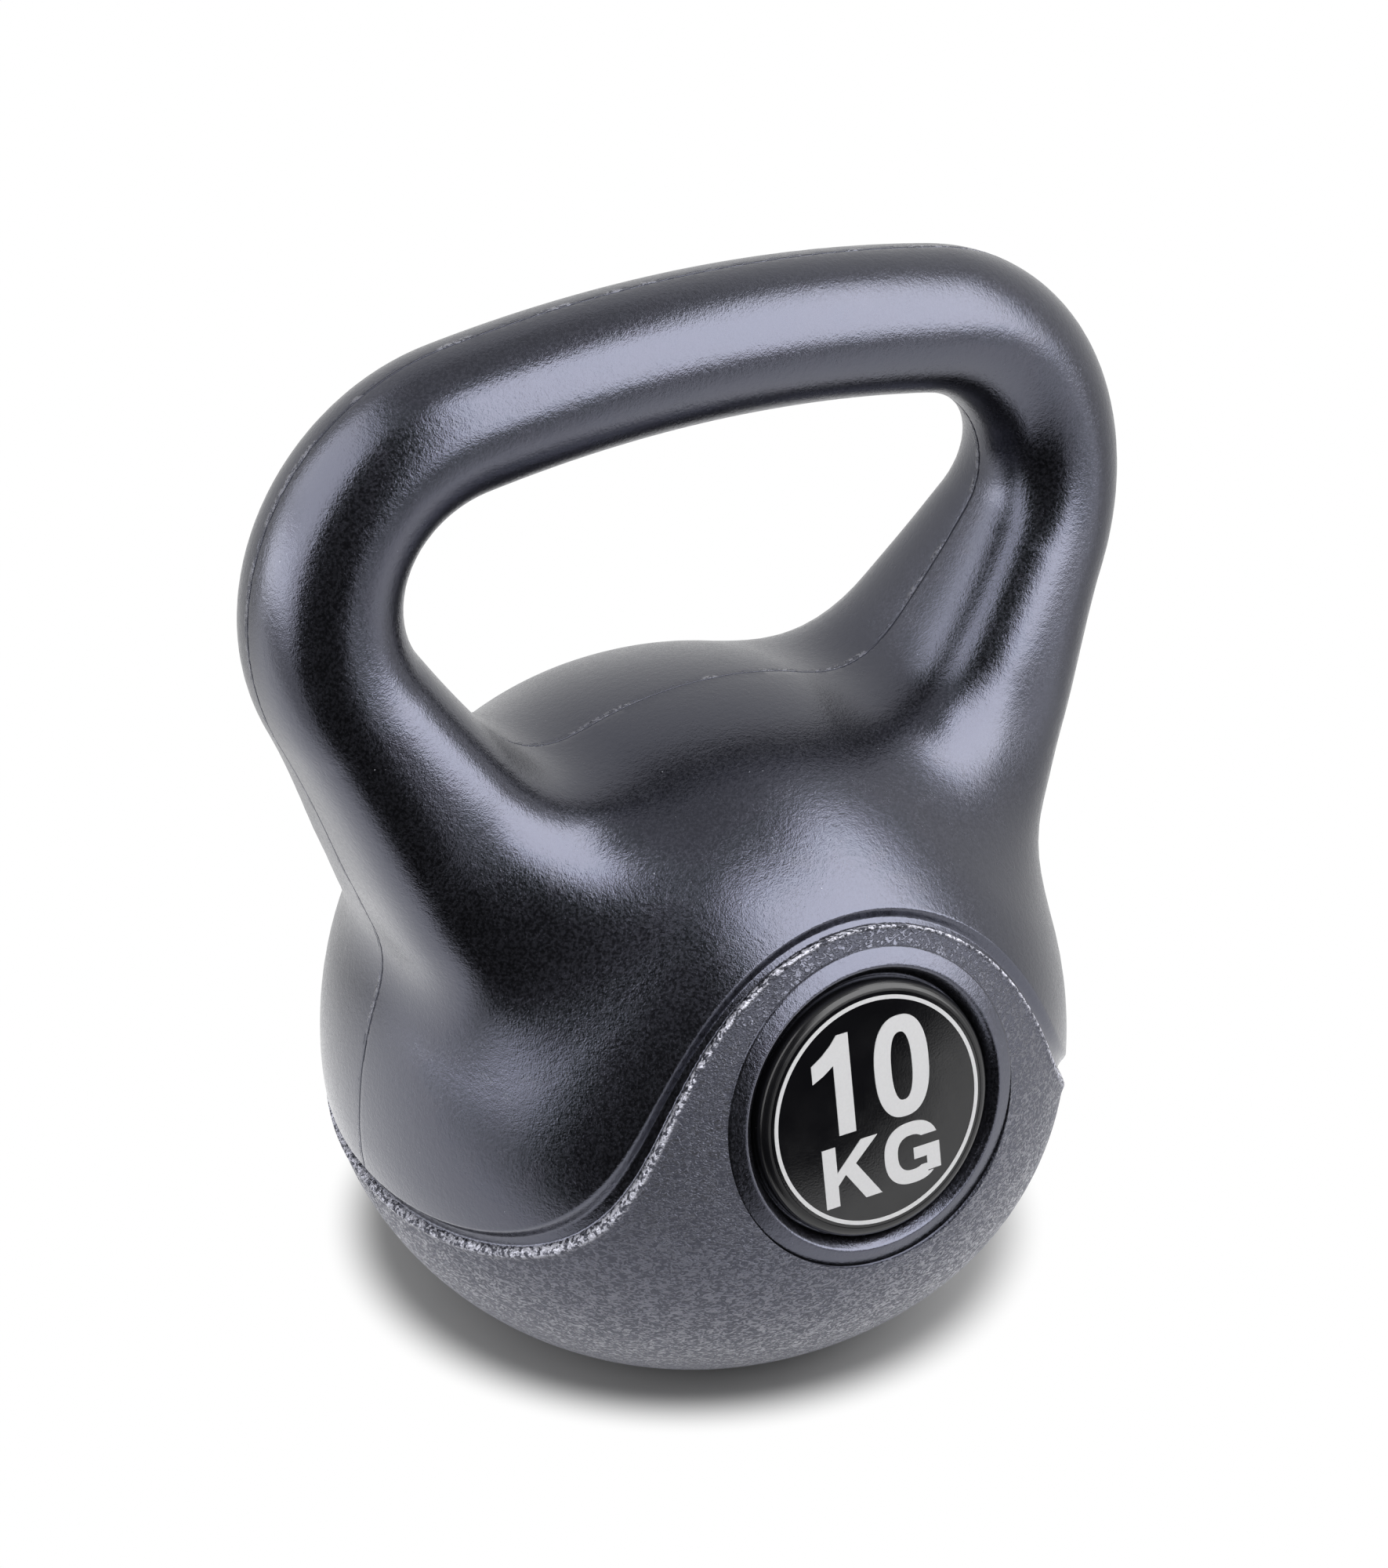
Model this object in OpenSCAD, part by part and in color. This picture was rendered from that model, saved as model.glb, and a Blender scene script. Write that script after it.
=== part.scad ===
// Cement-filled kettlebell. A blow-moulded plastic shell is ball and handle in one piece. It
// holds a cast fill with a steel bar along the handle, and a snap-in plug with a label closes
// a round hole on each side. +Z is up, X runs along the handle and the front faces -Y. The
// origin is the centre of the foot.

/* [Ball] */
// Height of the whole kettlebell
total_h = 290; // [280:1:305]
// Width of the ball
ball_w = 196; // [186:1:206]
// Depth of the ball, front to back
ball_d = 197; // [186:1:206]
// Rise of the ball above its widest level
crown_h = 103; // [96:1:108]
// Drop of the ball's curve below its widest level
keel_h = 83; // [78:1:90]
// Squareness of the ball, where 2 is an ellipsoid
ball_power = 2.05; // [2:0.01:2.15]
// Diameter of the flat foot
foot_dia = 72; // [60:1:84]
// Height that the foot stands out from the ball's curve
foot_step = 0.6; // [0.4:0.1:1.2]

/* [Handle] */
// Thickness of the grip, seen from the front
grip_h = 37; // [32:1:42]
// Thickness of the grip, front to back
grip_d = 38; // [32:1:44]
// Radius of the grip's slight bow, at its centre line
bow_r = 380; // [300:10:500]
// Half of the angle that the bow sweeps
bow_angle = 10; // [8:0.5:12]
// Radius of the handle's shoulders, at their centre line
shoulder_r = 44.5; // [40:0.5:50]
// Lean of each leg from upright
leg_lean = 29.4; // [26:0.2:32]
// Depth of a leg's root below the top of the ball
root_sink = 25.4; // [20:0.2:32]
// Thickness of a leg's root, seen from the front
root_h = 52; // [44:1:58]
// Thickness of a leg's root, front to back
root_d = 72; // [62:1:82]
// Growth of a leg's front thickness towards its root, as a power
flare_power = 2.6; // [2:0.1:3.4]
// Growth of a leg's side thickness towards its root, as a power
depth_power = 1.5; // [1.2:0.1:2]
// Squareness of the leg's section at its root, 2 for an ellipse
root_power = 3; // [2:0.1:3.4]

/* [Blend] */
// Size of the blend between leg and ball at the parting line
seam_blend = 20; // [16:1:26]
// Size of the blend between leg and ball away from the parting line
face_blend = 33; // [26:1:42]
// Distance from the parting line over which the blend grows
blend_reach = 38; // [30:1:50]
// Rounding where the ball meets the floor
foot_round = 4; // [2:0.5:6]

/* [Shell] */
// Wall of the moulded shell
wall = 3; // [2.5:0.1:4]
// Gap that the fill leaves to the shell as it shrinks
fill_gap = 0.3; // [0.2:0.05:0.5]

/* [Badge] */
// Distance of the badge's face behind the front of the ball
badge_inset = 9.1; // [7:0.1:11]
// Height of the badge's centre above the ball's widest level
badge_rise = 25.1; // [20:0.1:30]
// Tilt of the badge, facing up
badge_tilt = 12; // [8:0.5:15]
// Width of the collar outside its ridge
collar_w = 4.5; // [3.5:0.1:6]
// Drop of the collar's outer edge below the badge's face
edge_drop = 2.1; // [1.6:0.1:2.8]
// Width of the slope between the ridge and the recess
slope_w = 2.5; // [1.5:0.1:3.5]
// Drop of the slope from the ridge to the recess
slope_drop = 2.3; // [1:0.1:3]
// Drop of the ridge below the badge's face
ridge_drop = 0.9; // [0.5:0.1:1.5]
// Depth of the recess that takes the plug's head
recess_depth = 5; // [4.4:0.1:6]
// Diameter of the filling hole
hole_dia = 56; // [48:1:60]
// Length of the neck around the filling hole, behind the recess
neck_len = 9; // [7:0.5:12]

/* [Plug] */
// Width of the seat around the hole that the plug's head covers
seat_w = 5; // [4:0.1:6]
// Radius of the rounded edge of the head
head_round = 2.4; // [1.5:0.1:3]
// Gap between the plug's head and the recess at its side
side_gap = 1; // [0.8:0.1:1.6]
// Gap between the plug and its seat
seat_gap = 0.2; // [0.1:0.05:0.3]
// Wall of the plug's skirt
skirt_wall = 2.6; // [2:0.1:3.5]
// Height of the snap lip that catches behind the neck
lip_h = 0.9; // [0.6:0.1:1.4]
// Number of fingers that the skirt is slit into
finger_count = 8; // [4:1:12]
// Width of the slits between the fingers
slit_w = 3; // [2:0.5:5]

/* [Label] */
// Width of the flat rim between the label's pocket and the head's rounded edge
label_rim = 0.25; // [0.15:0.05:1]
// Gap between the label and the rim of its pocket
label_gap = 0.15; // [0.1:0.05:0.3]
// Thickness of the label
label_t = 0.8; // [0.6:0.1:1.2]
// Thickness of the print
print_t = 0.2; // [0.15:0.05:0.3]
// Distance of the printed circle's middle line from the edge of the label
circle_inset = 1.3; // [0.8:0.1:3]
// Width of the printed circle's line
circle_line = 1; // [0.6:0.1:1.4]
// Space between the circle and the printed weight, above and below
print_margin = 6.8; // [6.4:0.1:10]

/* [Groove] */
// Distance of the groove's middle line from the collar, above the badge
groove_gap = 5.2; // [4.6:0.2:9]
// Drop of the groove's middle line below the belly, at the sides
groove_drop = 27.8; // [20:0.2:36]
// Softness of the groove's turns between badge and sides
groove_blend = 116; // [100:2:130]
// Width of the groove at the skin
groove_w = 4.2; // [3:0.1:5]
// Width of the groove's floor
groove_floor = 1.4; // [0.8:0.1:2.2]
// Depth of the groove
groove_depth = 1.9; // [1:0.1:2.4]

/* [Handle bar] */
// Diameter of the steel bar cast into the handle
bar_dia = 12; // [8:0.5:14]
// Length of the bar below each leg's root
bar_tail = 45; // [30:1:55]
// Gap around the bar in the fill
bar_gap = 0.1; // [0.05:0.05:0.2]

/* [Hidden] */
$fn = 96;
// Sections around the loop of ball and handle, and points around each: both even
sections = 72;
points = 36;
tiny = 0.000001;
halvings = 15;
scan_step = 5;

// ---- Centre line of the handle, in the X-Z plane, for x >= 0
belly_z = keel_h * sqrt(1 - pow(foot_dia / ball_w, 2));
crown_z = belly_z + crown_h;
grip_z = total_h - grip_h / 2;
bow_centre = [0, grip_z - bow_r];
bow_end = bow_centre + bow_r * [sin(bow_angle), cos(bow_angle)];
shoulder_centre = bow_end - shoulder_r * [sin(bow_angle), cos(bow_angle)];
shoulder_stop = 90 + leg_lean;
leg_top = shoulder_centre + shoulder_r * [sin(shoulder_stop), cos(shoulder_stop)];
leg_dir = [-sin(leg_lean), -cos(leg_lean)];
leg_len = (leg_top[1] - crown_z + root_sink) / cos(leg_lean);
bow_len = bow_r * bow_angle * PI / 180;
shoulder_len = shoulder_r * (shoulder_stop - bow_angle) * PI / 180;
root_s = bow_len + shoulder_len + leg_len;
flare_share = 0.14;
flare_s = bow_len + flare_share * shoulder_len;

function clamp(v, low, high) = max(low, min(high, v));
function nearer(a, b) = a[0] < b[0] ? a : b;
function smooth_min(a, b, k) = min(a, b) - pow(max(k - abs(a - b), 0), 2) / (4 * k);
function smooth_max(a, b, k) = -smooth_min(-a, -b, k);

// Distance of a point from an arc of the centre line, and how far along the line that is
function arc_place(x, z, centre, r, start, stop, s) =
    let (raw = atan2(x - centre[0], z - centre[1]))
    let (a = clamp(raw < -90 ? raw + 360 : raw, start, stop))
    [norm([x, z] - centre - r * [sin(a), cos(a)]), s + r * (a - start) * PI / 180];

function leg_place(x, z) =
    let (t = clamp(([x, z] - leg_top) * leg_dir, 0, leg_len))
    [norm([x, z] - leg_top - t * leg_dir), bow_len + shoulder_len + t];

function handle_place(x, z) = nearer(leg_place(x, z), nearer(
    arc_place(x, z, bow_centre, bow_r, 0, bow_angle, 0),
    arc_place(x, z, shoulder_centre, shoulder_r, bow_angle, shoulder_stop, bow_len)));

// ---- Distance fields: below 0 inside, above 0 outside, close to millimetres near the skin
function eased(w) = w * w * (3 - 2 * w);

function handle_field(p) =
    let (place = handle_place(abs(p[0]), p[2]))
    let (w = clamp((place[1] - flare_s) / (root_s - flare_s), 0, 1))
    let (in_plane = eased(pow(w, flare_power)), in_depth = eased(pow(w, depth_power)))
    let (a = (grip_h + (root_h - grip_h) * in_plane) / 2)
    let (b = (grip_d + (root_d - grip_d) * in_depth) / 2)
    let (n = 2 + (root_power - 2) * in_depth)
    let (u = place[0] / a + tiny, v = abs(p[1]) / b + tiny)
    let (reach = pow(pow(u, n) + pow(v, n), 1 / n))
    (reach - 1) * pow(reach, n - 1) / norm([pow(u, n - 1) / a, pow(v, n - 1) / b]);

function ball_field(p) =
    let (h = p[2] > belly_z ? crown_h : keel_h)
    let (u = [2 * p[0] / ball_w, 2 * p[1] / ball_d, (p[2] - belly_z) / h])
    let (total = pow(abs(u[0]), ball_power) + pow(abs(u[1]), ball_power)
        + pow(abs(u[2]), ball_power))
    (pow(total, 1 / ball_power) - 1) * ball_w / 2;

function blend_at(y) =
    seam_blend + (face_blend - seam_blend) * (1 - exp(-pow(y / blend_reach, 2)));

function skin(p) = smooth_max(
    smooth_min(ball_field(p), handle_field(p), blend_at(p[1])), foot_step - p[2], foot_round);

// Distance along a ray at which the field passes a level, between an inner and an outer place
function crossing(start, dir, level, inner, outer, n = halvings) =
    let (mid = (inner + outer) / 2)
    n == 0 ? mid
    : skin(start + mid * dir) < level ? crossing(start, dir, level, mid, outer, n - 1)
    : crossing(start, dir, level, inner, mid, n - 1);

// ---- Sections: half-planes fanned around an axis along Y through the handle's window
window_z = (crown_z + total_h - grip_h) / 2;
pivot = [0, 0, window_z];
scan_reach = window_z + scan_step;
section_reach = ball_d;

function fan_dir(t) = [sin(t), 0, cos(t)];

function section_span(t) =
    let (steps = [scan_step:scan_step:scan_reach])
    let (inside = [for (r = steps) if (skin(pivot + r * fan_dir(t)) < 0) r])
    let (near = inside[0], far = inside[len(inside) - 1])
    [crossing(pivot, fan_dir(t), 0, near, near - scan_step),
     crossing(pivot, fan_dir(t), 0, far, far + scan_step)];

// Angle of the fan against the way travelled by the section's inner and outer end
function fan_table(step = 3) =
    let (angles = [for (t = [0:step:180]) t])
    let (spans = [for (t = angles) section_span(t)])
    let (ends = [for (i = [0:len(angles) - 1]) [for (r = spans[i]) r * fan_dir(angles[i])]])
    let (moves = [for (i = [1:len(angles) - 1])
        norm(ends[i][0] - ends[i - 1][0]) + norm(ends[i][1] - ends[i - 1][1])])
    [for (i = 0, s = 0; i < len(angles); s = s + (i < len(moves) ? moves[i] : 0), i = i + 1)
        [s, angles[i]]];

// Points of one quarter of a closed skin: rows are sections, from the top to the foot
function quarter_skin(level, half_sections, half_points) =
    let (table = fan_table())
    let (way = table[len(table) - 1][0])
    [for (j = [0:half_sections])
        let (t = lookup(way * j / half_sections, table))
        let (span = section_span(t))
        let (middle = (span[0] + span[1]) / 2)
        let (centre = pivot + middle * fan_dir(t))
        [for (k = [0:half_points])
            let (a = 180 * k / half_points)
            let (dir = cos(a) * fan_dir(t) + [0, sin(a), 0])
            let (to_axis = middle / max(-cos(a), tiny))
            let (r = crossing(centre, dir, level, 0, min(section_reach, to_axis)))
            centre + r * dir]];

// The whole skin of ball and handle, moved inwards by a depth, as one list of points
function skin_points(depth) =
    let (quarter = quarter_skin(-depth, sections / 2, points / 2))
    [for (j = [0:sections - 1], k = [0:points - 1])
        let (p = quarter[min(j, sections - j)][min(k, points - k)])
        [j > sections / 2 ? -p[0] : p[0], k > points / 2 ? -p[1] : p[1], p[2]]];

function mesh_index(j, k) = (j + sections) % sections * points + (k + points) % points;

// Corners of a cell of the mesh, clockwise as seen from outside
function cell(j, k) =
    [mesh_index(j, k), mesh_index(j, k + 1), mesh_index(j + 1, k + 1), mesh_index(j + 1, k)];
function triangles(c) = [[c[0], c[1], c[2]], [c[0], c[2], c[3]]];
function flipped(c) = [c[3], c[2], c[1], c[0]];

module solid_body(depth)
    polyhedron(skin_points(depth), [for (j = [0:sections - 1], k = [0:points - 1])
        each triangles(cell(j, k))]);

// The hollow body, with an opening of whole cells within each filling hole
module hollow_body() {
    outer = skin_points(0);
    inner = skin_points(wall);
    past = len(outer);
    open = [for (j = [0:sections - 1]) [for (k = [0:points - 1])
        max([for (c = cell(j, k)) badge_distance(outer[c])]) < hole_dia / 2]];
    cells = [for (j = [0:sections - 1], k = [0:points - 1]) if (!open[j][k]) cell(j, k)];
    rims = [for (j = [0:sections - 1], k = [0:points - 1]) if (open[j][k])
        let (c = cell(j, k))
        let (sides = [open[(j + sections - 1) % sections][k], open[j][(k + 1) % points],
            open[(j + 1) % sections][k], open[j][(k + points - 1) % points]])
        for (i = [0:3]) if (!sides[i])
            [c[i], c[(i + 1) % 4], c[(i + 1) % 4] + past, c[i] + past]];
    polyhedron(concat(outer, inner), concat(
        [for (c = cells) each triangles(c)],
        [for (c = cells) each triangles([for (i = flipped(c)) i + past])],
        [for (c = rims) each triangles(c)]));
}

// ---- Badge: its frame has +Z out of the face and +Y up along it
badge_y = ball_d / 2 - badge_inset;
badge_z = belly_z + badge_rise;
badge_axis = [0, -cos(badge_tilt), sin(badge_tilt)];

// Distance of a point from the axis of the badge on its side
function badge_distance(p) =
    norm(cross([p[0], badge_y - abs(p[1]), p[2] - badge_z], badge_axis));

module on_front() translate([0, -badge_y, badge_z]) rotate([90 - badge_tilt, 0, 0]) children();
module on_rear() mirror([0, 1, 0]) on_front() children();
module on_both() {
    on_front() children();
    on_rear() children();
}

// ---- Wavy groove round the ball, over both badges, between its smooth and its grained half
groove_steps = 96;
groove_lift = 1;
groove_step = 3;
low_turn = -60;
high_turn = 60;
normal_step = 0.1;

// 0 along the middle of the groove, above 0 on the smooth half
function wave(p) = smooth_min(
    badge_distance(p) - collar_dia / 2 - groove_gap, p[2] - belly_z + groove_drop, groove_blend);

// Point of the skin seen from the ball's middle, at a turn from the front and a rise
function ball_point(turn, rise) =
    let (dir = [sin(turn) * cos(rise), -cos(turn) * cos(rise), sin(rise)])
    let (start = [0, 0, belly_z])
    start + crossing(start, dir, 0, 0, ball_w) * dir;

function groove_point(turn, low = low_turn, high = high_turn, n = halvings) =
    let (mid = (low + high) / 2)
    let (p = ball_point(turn, mid))
    n == 0 ? p
    : wave(p) < 0 ? groove_point(turn, mid, high, n - 1)
    : groove_point(turn, low, mid, n - 1);

// Middle line of a quarter of the groove, from the front to the side, in even steps
function groove_quarter(quarter_steps) =
    let (turns = [for (t = [0:groove_step:90]) t])
    let (line = [for (t = turns) groove_point(t)])
    let (table = [for (i = 0, s = 0; i < len(line);
        s = s + (i + 1 < len(line) ? norm(line[i + 1] - line[i]) : 0), i = i + 1) [s, turns[i]]])
    [for (i = [0:quarter_steps])
        groove_point(lookup(table[len(table) - 1][0] * i / quarter_steps, table))];

function groove_line() =
    let (n = groove_steps / 4, quarter = groove_quarter(n))
    [for (i = [0:groove_steps - 1])
        let (p = quarter[abs((i + n) % (2 * n) - n)])
        [i > 2 * n ? -p[0] : p[0], i > n && i < 3 * n ? -p[1] : p[1], p[2]]];

function unit(v) = v / norm(v);
function skin_normal(p) = unit([for (i = [0:2])
    let (d = [for (j = [0:2]) i == j ? normal_step : 0]) skin(p + d) - skin(p - d)]);

// A closed band along the groove, from a profile of places across it and heights over the skin
module groove_band(profile) {
    line = groove_line();
    n = len(profile);
    rings = [for (i = [0:groove_steps - 1])
        let (out = skin_normal(line[i]))
        let (ahead = line[(i + 1) % groove_steps] - line[(i + groove_steps - 1) % groove_steps])
        let (across = unit(cross(out, ahead)))
        for (p = profile) line[i] + p[0] * across + p[1] * out];
    function at(i, k) = (i % groove_steps) * n + k % n;
    polyhedron(rings, [for (i = [0:groove_steps - 1], k = [0:n - 1])
        each triangles([at(i, k), at(i, k + 1), at(i + 1, k + 1), at(i + 1, k)])]);
}

function groove_profile(top_w, top, floor_w, floor_h) =
    [[-top_w / 2, top], [top_w / 2, top], [floor_w / 2, floor_h], [-floor_w / 2, floor_h]];

module groove()
    groove_band(groove_profile(groove_w + (groove_w - groove_floor) * groove_lift / groove_depth,
        groove_lift, groove_floor, -groove_depth));

// The wall that follows the groove inside
module groove_back(grow)
    groove_band(groove_profile(groove_w + 2 * (wall + grow), -wall / 2,
        groove_floor + wall + 2 * grow, -groove_depth - wall - grow));

// ---- Seat of a plug, as profiles of radius and height in the badge's frame
head_dia = hole_dia + 2 * seat_w;
recess_dia = head_dia + 2 * side_gap;
ridge_dia = recess_dia + 2 * slope_w;
collar_dia = ridge_dia + 2 * collar_w;
neck_end = recess_depth + neck_len;
neck_out = hole_dia / 2 + wall;
witness_w = 0.2;
space_out = collar_dia / 2 + witness_w;
ridge_flat = 0.4;
clear_above = 30;
lip_len = 3;
fill_level = neck_end + lip_len + 1;

// Outline of the moulded cup: the neck up to its end and the solid ring around the recess
function cup_outline(grow, end, top) = [[0, -end], [neck_out + grow, -end],
    [neck_out + grow, -recess_depth - wall - grow],
    [collar_dia / 2 + grow, -recess_depth - wall - grow], [collar_dia / 2 + grow, top], [0, top]];

module cup() rotate_extrude() polygon(cup_outline(0, neck_end, -ridge_drop));

// What is open in front of the cup: the filling hole, the recess and the space over the collar
module cup_space() rotate_extrude() polygon([[0, clear_above], [space_out, clear_above],
    [space_out, -edge_drop], [collar_dia / 2, -edge_drop],
    [ridge_dia / 2 + ridge_flat, -ridge_drop], [ridge_dia / 2, -ridge_drop],
    [recess_dia / 2, -ridge_drop - slope_drop],
    [recess_dia / 2, -recess_depth], [hole_dia / 2, -recess_depth],
    [hole_dia / 2, -fill_level], [0, -fill_level]]);

module shell() color([0.09, 0.09, 0.1]) difference() {
    union() {
        hollow_body();
        cylinder(d = foot_dia - 2 * foot_round, h = foot_step + wall / 2);
        on_both() cup();
        groove_back(0);
    }
    groove();
    on_both() cup_space();
}

module fill() color([0.62, 0.6, 0.57]) difference() {
    solid_body(wall + fill_gap);
    on_both() rotate_extrude() polygon(cup_outline(fill_gap, fill_level, clear_above));
    groove_back(fill_gap);
    bar(bar_dia + 2 * bar_gap);
}

// ---- Steel bar along the handle's centre line, down into the ball
bow_steps = 3;
shoulder_steps = 12;

function toward(a) = [sin(a), cos(a)];

// Places along the right half of the bar, from its middle: centre in X-Z, and turn from upright
bar_right = concat(
    [for (i = [1:bow_steps]) let (a = bow_angle * i / bow_steps)
        [bow_centre + bow_r * toward(a), a]],
    [for (i = [1:shoulder_steps])
        let (a = bow_angle + (shoulder_stop - bow_angle) * i / shoulder_steps)
        [shoulder_centre + shoulder_r * toward(a), a]],
    [[leg_top + (leg_len + bar_tail) * leg_dir, shoulder_stop]]);
bar_stations = concat(
    [for (i = [len(bar_right) - 1:-1:0])
        let (s = bar_right[i]) [[-s[0][0], s[0][1]], -s[1]]],
    [[[0, grip_z], 0]], bar_right);
bar_sides = 16;

module bar(dia) {
    n = len(bar_stations);
    rings = [for (s = bar_stations, k = [0:bar_sides - 1])
        let (a = 360 * k / bar_sides, out = toward(s[1]) * dia / 2 * cos(a))
        [s[0][0] + out[0], dia / 2 * sin(a), s[0][1] + out[1]]];
    sides = [for (j = [0:n - 2], k = [0:bar_sides - 1])
        let (next = (k + 1) % bar_sides)
        [j * bar_sides + k, j * bar_sides + next,
         (j + 1) * bar_sides + next, (j + 1) * bar_sides + k]];
    polyhedron(rings, concat([for (c = sides) each triangles(c)],
        [[for (k = [bar_sides - 1:-1:0]) k]],
        [[for (k = [0:bar_sides - 1]) (n - 1) * bar_sides + k]]));
}

module handle_bar() color([0.55, 0.56, 0.58]) bar(bar_dia);

// ---- Plug with a slit skirt that snaps behind the neck, and its label
head_bottom = -recess_depth + seat_gap;
skirt_out = hole_dia / 2 - seat_gap;
skirt_in = skirt_out - skirt_wall;
lip_top = -neck_end - seat_gap;
lip_out = hole_dia / 2 + lip_h;
slit_top = head_bottom - 3;
label_dia = head_dia - 2 * (head_round + label_rim + label_gap);

module plug_body() rotate_extrude() polygon(concat(
    [[0, head_bottom], [skirt_in, head_bottom], [skirt_in, lip_top - lip_len],
     [skirt_out, lip_top - lip_len], [lip_out, lip_top - lip_len / 3], [lip_out, lip_top],
     [skirt_out, lip_top], [skirt_out, head_bottom]],
    [[head_dia / 2, head_bottom]],
    [for (a = [0:10:90]) [head_dia / 2 - head_round + head_round * cos(a),
        -head_round + head_round * sin(a)]],
    [[label_dia / 2 + label_gap, 0], [label_dia / 2 + label_gap, -label_t], [0, -label_t]]));

module plug() color([0.05, 0.05, 0.06]) difference() {
    plug_body();
    for (i = [0:finger_count - 1]) rotate([0, 0, (i + 0.5) * 360 / finger_count])
        translate([(skirt_in + lip_out) / 2, 0, slit_top - fill_level / 2])
            cube([2 * (lip_out - skirt_in), slit_w, fill_level], center = true);
}

module label() color([0.03, 0.03, 0.035]) translate([0, 0, -label_t])
    cylinder(d = label_dia, h = label_t);

// ---- Print on the front label: a circle around the weight, which is sized to fit in it
circle_dia = label_dia - 2 * circle_inset;
print_h = circle_dia - 2 * print_margin;
figure_h = 0.588 * print_h;
figure_w = 0.604 * figure_h;
figure_gap = 0.254 * figure_h;
figure_stroke = 0.185 * figure_h;
unit_h = 0.353 * print_h;
unit_w = 1.026 * unit_h;
unit_gap = 0.096 * unit_h;
unit_stroke = 0.244 * unit_h;
unit_y = -0.49 * print_h;
figures_shift = -0.02 * print_h;
oval_power = 2.4;
top_stroke = 0.9;
overshoot = 0.07;

function oval_point(w, h, a) = [
    w / 2 * sign(cos(a)) * pow(abs(cos(a)), 2 / oval_power),
    h / 2 * sign(sin(a)) * pow(abs(sin(a)), 2 / oval_power)];

module oval(w, h) polygon([for (a = [2.5:5:357.5]) oval_point(w, h, a)]);

// A round form stands a little over the line at its top and its foot, and is thinner there
module oval_ring(w, h, stroke) {
    full_h = h + 2 * overshoot * stroke;
    difference() {
        oval(w, full_h);
        oval(w - 2 * stroke, full_h - 2 * top_stroke * stroke);
    }
}

// The figures and letters start at x = 0 and stand on y = 0
one_share = 2.28;

module figure_one(h, s) polygon([[one_share * s, 0], [one_share * s, h], [1.6 * s, h],
    [1.2 * s, h - 0.45 * s], [0.65 * s, h - 0.9 * s], [0, h - 1.28 * s], [0, h - 2.24 * s],
    [0.65 * s, h - 1.95 * s], [1.28 * s, h - 1.55 * s], [1.28 * s, 0]]);

module figure_nought(w, h, s) translate([w / 2, h / 2]) oval_ring(w, h, s);

module letter_k(w, h, s) polygon([[0, 0], [s, 0], [s, 0.34 * h], [1.62 * s, 0.49 * h],
    [w - 1.22 * s, 0], [w, 0], [0.46 * w + 0.5 * s, 0.63 * h], [w, h], [w - 1.25 * s, h],
    [s, 0.55 * h], [s, h], [0, h]]);

module letter_g(w, h, s) translate([w / 2, h / 2]) {
    difference() {
        oval_ring(w, h, s);
        translate([0.1 * w, -0.26 * h]) square([w, 0.5 * h]);
        translate([0.26 * w, -0.4 * h]) square([w, 0.5 * h]);
    }
    translate([0.03 * w, -0.13 * h]) square([0.47 * w, 0.19 * h]);
    translate([0.26 * w, -0.38 * h]) square([0.24 * w, 0.4 * h]);
}

module weight_print() {
    one_w = one_share * figure_stroke;
    figures_w = one_w + figure_gap + figure_w;
    difference() {
        circle(d = circle_dia + circle_line);
        circle(d = circle_dia - circle_line);
    }
    translate([figures_shift - figures_w / 2, unit_y + print_h - figure_h]) {
        figure_one(figure_h, figure_stroke);
        translate([one_w + figure_gap, 0]) figure_nought(figure_w, figure_h, figure_stroke);
    }
    translate([0, unit_y]) {
        translate([-unit_gap / 2 - unit_w, 0]) letter_k(unit_w, unit_h, unit_stroke);
        translate([unit_gap / 2, 0]) letter_g(unit_w, unit_h, unit_stroke);
    }
}

module weight_mark() color([0.82, 0.82, 0.84]) on_front()
    linear_extrude(print_t) weight_print();

module front_plug() on_front() plug();
module front_label() on_front() label();
module rear_plug() on_rear() plug();
module rear_label() on_rear() label();

shell();
fill();
handle_bar();
front_plug();
front_label();
weight_mark();
rear_plug();
rear_label();
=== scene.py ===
"""Looks of a cement-filled kettlebell with a blow-moulded shell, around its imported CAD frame.

The shell's skin is made again at full detail from the same fields as the part's source: ball, bowed
handle and the blend between them. On it lie the rounded wavy groove with its bead and the notch of
the parting line. The collars, recesses and necks of both badges are turned profiles. Lengths are in
millimetres until a mesh is made, and in metres after that.
"""

import math

import bpy
import numpy as np
from mathutils import Matrix, Vector


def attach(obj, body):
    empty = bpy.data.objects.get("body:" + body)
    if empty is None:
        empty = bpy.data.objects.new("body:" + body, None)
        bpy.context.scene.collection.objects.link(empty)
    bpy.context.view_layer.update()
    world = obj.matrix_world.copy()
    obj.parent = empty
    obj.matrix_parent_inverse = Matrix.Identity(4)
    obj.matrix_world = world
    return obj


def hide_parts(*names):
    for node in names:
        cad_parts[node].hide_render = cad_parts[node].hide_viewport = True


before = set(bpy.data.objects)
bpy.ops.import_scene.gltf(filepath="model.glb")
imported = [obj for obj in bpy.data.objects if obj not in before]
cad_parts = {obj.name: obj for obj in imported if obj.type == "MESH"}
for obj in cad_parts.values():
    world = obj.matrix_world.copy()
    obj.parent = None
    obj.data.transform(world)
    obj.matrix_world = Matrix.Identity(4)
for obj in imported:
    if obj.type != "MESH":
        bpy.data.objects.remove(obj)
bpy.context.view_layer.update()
MM = 0.001
TINY = 1e-6
GRADIENT_STEP = 0.02

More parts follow.
